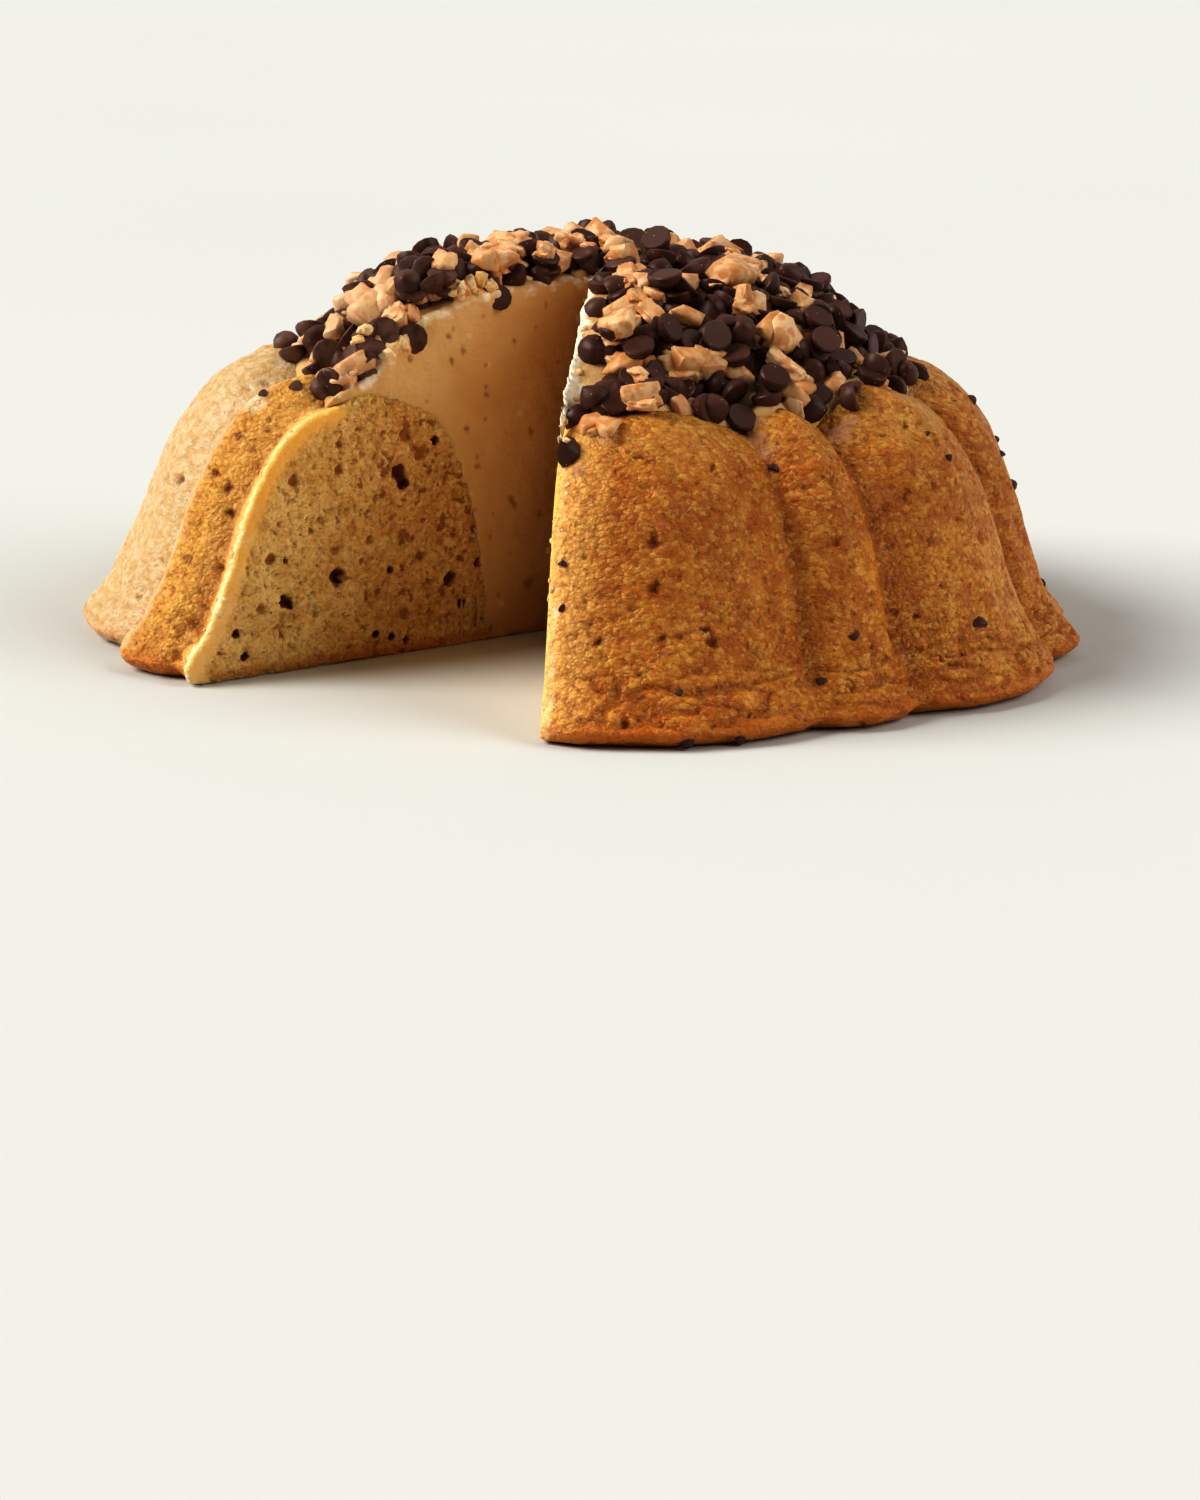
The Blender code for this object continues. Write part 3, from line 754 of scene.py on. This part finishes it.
def toffee_shape(number):
    """A lump of toffee that has lost its corners to breaks, with softened edges and uneven faces."""
    bpy.ops.object.select_all(action="DESELECT")
    bpy.ops.mesh.primitive_cube_add(size=1)
    made = bpy.context.object
    bpy.ops.object.mode_set(mode="EDIT")
    for _ in range(dice.randint(3, 6)):
        towards = Vector((dice.gauss(0, 1), dice.gauss(0, 1), dice.gauss(0, 1))).normalized()
        middle = towards * dice.uniform(0.34, 0.52)
        bpy.ops.mesh.select_all(action="SELECT")
        bpy.ops.mesh.bisect(plane_co=middle, plane_no=towards, use_fill=True, clear_outer=True)
    bpy.ops.mesh.select_all(action="SELECT")
    bpy.ops.mesh.remove_doubles(threshold=0.1)
    bpy.ops.mesh.bevel(offset=0.09, segments=1, affect="EDGES")
    bpy.ops.mesh.remove_doubles(threshold=0.04)
    bpy.ops.transform.vertex_random(offset=0.07, uniform=0.6, seed=number)
    bpy.ops.mesh.normals_make_consistent(inside=False)
    bpy.ops.object.mode_set(mode="OBJECT")
    made.data.shade_smooth()
    made.data.set_sharp_from_angle(angle=math.radians(75))
    return made


def joined(name, things):
    """The things made one piece of that name."""
    take(things[0])
    for thing in things:
        thing.select_set(True)
    bpy.ops.object.join()
    things[0].name = name
    return things[0]


def slab_shape(number):
    """A few lumps of toffee in a row that have run into one another."""
    lumps = []
    for step in (-0.24, 0, 0.24):
        lump = toffee_shape(number)
        middle = (step + dice.uniform(-0.05, 0.05), dice.uniform(-0.14, 0.14), dice.uniform(-0.1, 0.1))
        size = (dice.uniform(0.42, 0.6), dice.uniform(0.6, 0.9), dice.uniform(0.6, 0.95))
        lump.data.transform(Matrix.Translation(middle) @ Matrix.Diagonal((*size, 1)))
        lumps.append(lump)
    made = joined("slab", lumps)
    work(made, "REMESH", mode="VOXEL", voxel_size=0.06)
    work(made, "SMOOTH", factor=0.5, iterations=2)
    relief(made, 0.3, 0.22)
    made.data.shade_smooth()
    return made


patterns = {
    "chip": [chip_shape() for _ in range(CHIP_SHAPES)],
    "toffee": [toffee_shape(number) for number in range(TOFFEE_SHAPES)],
    "slab": [slab_shape(number) for number in range(SLAB_SHAPES)],
}
laid = {"chip": [], "toffee": [], "slab": []}


def lay(kind, middle, axis, size, into_wedge=-0.3, along=None):
    """One more copy, its own up turned to the axis and its own X along a direction, or to any side.

    It may pass the cut planes by into_wedge mm, and is moved back if it is further in.
    """
    copied = added(kind, dice.choice(patterns[kind]).data.copy())
    if along:
        across = axis.cross(along).normalized()
        upright = Matrix((across.cross(axis), across, axis)).transposed().to_4x4()
    else:
        turn = Matrix.Rotation(dice.uniform(0, math.tau), 4, "Z")
        upright = axis.to_track_quat("Z", "Y").to_matrix().to_4x4() @ turn
    copied.data.transform(Matrix.Translation(middle) @ upright @ Matrix.Diagonal((*size, 1)))
    places = corners_of(copied)[0]
    over = -into_wedge * MM - beside_cut(places).min()
    aside = math.copysign(math.cos(WEDGE_HALF_ANGLE), middle.x - AXIS.x)
    back = Vector((aside, math.sin(WEDGE_HALF_ANGLE), 0)) * max(0, over)
    down = max(0, places[:, 2].max() - TOPPING_TOP) + min(0, places[:, 2].min())
    if over < LARGEST_MOVE:
        copied.data.transform(Matrix.Translation(back - Vector((0, 0, down))))
        keep_values(copied, "tone", np.full(len(places), dice.random()))
        laid[kind].append(copied)
    else:
        bpy.data.objects.remove(copied)


def rest_on(tree, x, y, reach):
    """The place and slope that something of that reach finds at (x, y), or None past the edge."""
    hits = []
    for step in range(5):
        angle = step * math.tau / 5
        hit = from_above(tree, x + reach * math.cos(angle), y + reach * math.sin(angle))[0]
        if hit is None or hit.z < TOPPING_LOWEST:
            return None
        hits.append(hit)
    middle = sum(hits, Vector()) / 5
    normal = Vector()
    for here, after in zip(hits, hits[1:] + hits[:1]):
        normal += (here - middle).cross(after - middle)
    return middle, normal.normalized()


def tipped(normal, tip):
    """A direction at that angle from the normal, to any side."""
    side = normal.orthogonal()
    side.rotate(Matrix.Rotation(dice.uniform(0, math.tau), 3, normal))
    return normal * math.cos(tip) + side * math.sin(tip)


def lay_on(kind, place, normal, tip, size, sunk):
    """Lays one more, its middle as far above the surface as it is thick, less what it is sunk."""
    if kind == "chip":
        half = (HALF_CHIP + HALF_CHIP_ON_SIDE * abs(math.sin(tip))) * MM
    else:
        half = size[2] * 0.45
    lay(kind, place + normal * half * (1 - 2 * sunk), tipped(normal, tip), size)


def dome_normal(place):
    """The way that the frosting, or the crust, faces under a place."""
    return from_above(bare, place.x, place.y)[1]


def toffee_size(long):
    """A lump of that length in mm, its width and its thickness left to chance."""
    return long * MM, long * dice.uniform(0.6, 0.95) * MM, long * dice.uniform(0.45, 0.75) * MM


def tree_with_topping():
    """What rays can be cast on: the cake, the frosting and what lies on them already."""
    return tree_of(cake, frosting, *laid["chip"], *laid["toffee"])


bare = tree_of(cake, frosting)
golden_angle = math.pi * (3 - math.sqrt(5))
for batch, (count, sunk) in enumerate(BATCHES):
    tree = tree_with_topping()
    for number in range(count):
        azimuth = number * golden_angle + batch * BATCH_TURN + dice.gauss(0, 0.02)
        edge = TOPPING_EDGE + uneven_edge(azimuth) - batch * BATCH_STEP
        away = edge * math.sqrt((number + 0.5) / count) + dice.gauss(0, 1.2)
        x, y = AXIS.x + away * MM * math.cos(azimuth), AXIS.y + away * MM * math.sin(azimuth)
        kind = "chip" if dice.random() < (CHIPS_LEFT if x < AXIS.x else CHIPS_RIGHT) else "toffee"
        tip = dice.choice(TIPS) + dice.gauss(0, 0.2)
        size = (1,) * 3 if kind == "chip" else toffee_size(dice.uniform(*TOFFEE_LENGTHS))
        found = rest_on(tree, x, y, FOOTPRINT * MM)
        beside = beside_cut(np.array([[x, y, 0]]))[0] / MM
        bare_strip = x > AXIS.x and beside < BARE_STRIP[0] + FOOTPRINT and away > BARE_STRIP[1]
        if found and beside > NEAREST_TO_CUT and not bare_strip:
            heaped = found[0].z - from_above(bare, x, y)[0].z
            if heaped < HEAP_AT_EDGE + HEAP_INSIDE * ease(away, edge + HEAP_FROM, edge + HEAP_FULL):
                lay_on(kind, *found, tip, size, sunk)

tree = tree_with_topping()
for start_x, start_y, end_x, end_y, wide, thick in SLABS:
    start, end = seen(start_x, start_y, tree)[0], seen(end_x, end_y, tree)[0]
    up = dome_normal((start + end) / 2)
    along = (end - start) - up * (end - start).dot(up)
    size = (along.length + 2.5 * MM, wide * MM, thick * 0.8 * MM)
    lay("slab", (start + end) / 2 - up * 0.6 * MM, up, size, along=along)
for across, down, long in SHOWN_TOFFEE:
    place = seen(across, down, tree)[0]
    lay_on("toffee", place, dome_normal(place), dice.gauss(0, 0.25), toffee_size(long), 0.45)
tree = tree_with_topping()
for across, down, tip in SHOWN_CHIPS:
    place, normal = seen(across, down, tree)
    up = (normal + dome_normal(place)).normalized()
    lay_on("chip", place, up, tip, (1,) * 3, 0.35)
for across, down, share in EMBEDDED_CHIPS:
    place, normal = seen(across, down, bare)
    lay("chip", place - normal * share * 1.6 * MM, tipped(normal, BASE_OUT), (share,) * 3, 1.2)
baked = [seen(across, down, bare) + (share,) for across, down, share in BAKED_CHIPS]
for _ in range(HIDDEN_BAKED_CHIPS):
    place, normal = on_side(dice.uniform(*HIDDEN_SIDE), dice.uniform(4, 60) * MM, bare)
    baked.append((place, normal, dice.uniform(0.25, 0.6)))
for place, normal, share in baked:
    size = (share, share, share * 1.2)
    lay("chip", place - normal * share * 1.1 * MM, tipped(normal, ON_ITS_SIDE), size, 0.3)
for pattern in patterns["chip"] + patterns["toffee"] + patterns["slab"]:
    bpy.data.objects.remove(pattern)

chocolate = joined("chocolate_chips", laid["chip"])
look = Look(bpy.data.materials.new("dark_chocolate"))
fine = look.noise(0.7 * MM)
dusty = look.noise(5 * MM)
# Pale patches on the side towards the lamp: painted light.
lit_patches = look.step(look.along(PALE_LIT_SIDE), 5 * MM, 65 * MM) * look.step(dusty, 0.4, 0.6)
# Small light dots: painted glints.
glints = look.step(look.cells(1.9 * MM), 0.11, 0.06)
dark = look.mix(look.step(look.stored("tone"), 0.1, 0.9), (0.075, 0.026, 0.016), (0.112, 0.043, 0.028))
dark = look.mix(look.step(dusty, 0.5, 0.8) * 0.4, dark, (0.15, 0.07, 0.048))
dark = look.mix(lit_patches * 0.3, dark, (0.40, 0.25, 0.18))
dark = look.mix(glints * 0.7, dark, (0.62, 0.48, 0.38))
dull = look.step(dusty, 0.2, 0.9) * 0.2 + 0.34
look.finish(chocolate, dark, dull, (fine, 0.2, 0.15 * MM), Specular_IOR_Level=0.25)
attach(chocolate, "root")

toffee = joined("toffee_bits", laid["toffee"] + laid["slab"])
look = Look(bpy.data.materials.new("toffee"))
fine = look.noise(1.1 * MM, 3)
# Paler on the side towards the lamp: painted light.
lit_side = look.step(look.along(PALE_LIT_SIDE), 20 * MM, 75 * MM)
pale = look.mix(look.stored("tone"), (0.86, 0.60, 0.35), (0.72, 0.40, 0.16))
pale = look.mix(look.step(look.noise(3 * MM), 0.43, 0.6) * 0.8, pale, (0.64, 0.27, 0.08))
pale = look.mix(lit_side * 0.35, pale, (1, 0.82, 0.62))
pale = look.mix(look.step(fine, 0.6, 0.76) * 0.4, pale, (0.50, 0.19, 0.05))
look.finish(toffee, pale, 0.38, (fine, 0.25, 0.3 * MM), Specular_IOR_Level=0.35)
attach(toffee, "root")

# Crumbs: bits of cake and frosting that the knife pulled out. They cling to the corners of the two cuts, to
# the cake's foot there, and to the frosting where the topping was cut through.
CUT_SIDES = ((FIRST_CUT, 1, 45), (LAST_CUT, -1, 38))  # a cut, the way from it to the cake, and its crumbs
CRUMB_SHAPES = 8
SMALLEST_CRUMB, LARGEST_CRUMB = 0.35, 2.2  # mm, and a shown crumb has its own width in mm
SHOWN_CRUMBS = (
    (470, 285, 5), (481, 280, 4.5), (491, 286, 4), (461, 289, 4), (476, 292, 3), (453, 293, 2.6),
    (396, 349, 5), (404, 345, 4), (389, 355, 4), (352, 372, 3), (358, 340, 4), (366, 330, 4),
    (548, 550, 1.8), (552, 590, 1.6), (557, 470, 1.6), (566, 440, 2), (576, 400, 2.2), (580, 372, 2),
    (583, 330, 2.4), (585, 300, 2),
)


def crumb_shape(number):
    """A rough grain, a little flattened."""
    bpy.ops.object.select_all(action="DESELECT")
    bpy.ops.mesh.primitive_ico_sphere_add(subdivisions=2, radius=0.5)
    made = bpy.context.object
    bpy.ops.object.mode_set(mode="EDIT")
    bpy.ops.transform.vertex_random(offset=0.2, uniform=0.4, seed=number + 1)
    bpy.ops.object.mode_set(mode="OBJECT")
    made.data.transform(Matrix.Diagonal((1, dice.uniform(0.6, 1), dice.uniform(0.5, 0.9), 1)))
    made.data.shade_smooth()
    return made


patterns["crumb"] = [crumb_shape(number) for number in range(CRUMB_SHAPES)]
laid["crumb"] = []
for side, inward, count in CUT_SIDES:
    for number in range(count):
        azimuth = side + inward * math.radians(dice.uniform(0.05, 0.8) ** 2 * 4)
        place, normal = on_side(azimuth, dice.uniform(0.8, 66) * MM, bare)
        size = min(dice.expovariate(2.4) + SMALLEST_CRUMB, LARGEST_CRUMB) * MM
        lay("crumb", place, normal, (size,) * 3, 0.7)
topped = tree_of(cake, frosting, chocolate, toffee)
for across, down, wide in SHOWN_CRUMBS:
    place, normal = seen(across, down, topped)
    lay("crumb", place, normal, (wide * MM,) * 3, 1.2)
for pattern in patterns["crumb"]:
    bpy.data.objects.remove(pattern)
crumbs = joined("crumbs", laid["crumb"])
look = Look(bpy.data.materials.new("crumbs"))
fine = look.noise(0.8 * MM)
golden = look.mix(look.stored("tone"), (0.98, 0.77, 0.46), (0.88, 0.56, 0.22))
golden = look.mix(look.step(fine, 0.45, 0.7) * 0.5, golden, (0.62, 0.27, 0.06))
look.finish(crumbs, golden, 0.6, (fine, 0.5, 0.3 * MM), Specular_IOR_Level=0.3)
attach(crumbs, "root")

# The studio: a pale floor without an edge, a broad soft light from the left, a weaker one from the right, and
# a surround that is bright behind the cake and dim on the camera's side.
FLOOR_SIZE = 30
DIM, BRIGHT = 0.06, 0.65
bpy.ops.object.select_all(action="DESELECT")
bpy.ops.mesh.primitive_plane_add(size=FLOOR_SIZE)
floor = bpy.context.object
floor.name = "floor"
look = Look(bpy.data.materials.new("floor"))
tone = look.mix(look.step(look.noise(0.4, 1), 0.2, 0.8), (0.672, 0.68, 0.662), (0.682, 0.69, 0.672))
look.finish(floor, tone, 0.6, Specular_IOR_Level=0)


def soft_light(name, bearing, elevation, spread, strength, colour):
    """Even light from a bearing, clockwise from the camera's own as seen from the cake, and an elevation."""
    data = bpy.data.lights.new(name, "SUN")
    data.angle, data.energy, data.color = math.radians(spread), strength, colour
    lamp = added(name, data)
    around = math.radians(-90) + CAMERA_TURN - math.radians(bearing)
    level = math.cos(math.radians(elevation))
    towards = Vector((math.cos(around) * level, math.sin(around) * level, math.sin(math.radians(elevation))))
    lamp.location = towards * 2
    lamp.rotation_euler = towards.to_track_quat("Z", "Y").to_euler()


soft_light("window", 84, 38, 36, 3.8, (1, 0.985, 0.95))
soft_light("far_side", -78, 35, 45, 1.75, (1, 0.985, 0.96))
world = bpy.data.worlds.new("surround")
look = Look(world, "Generated")
behind = look.along((-math.sin(CAMERA_TURN), math.cos(CAMERA_TURN), 0))
strength = look.step(behind, -0.15, 0.45) * (BRIGHT - DIM) + DIM
look.fill(world.node_tree.nodes["Background"], {"Color": (0.98, 0.98, 0.96), "Strength": strength})
bpy.context.scene.world = world
bpy.context.scene.view_settings.view_transform = "Standard"
bpy.context.scene.view_settings.gamma = 0.7
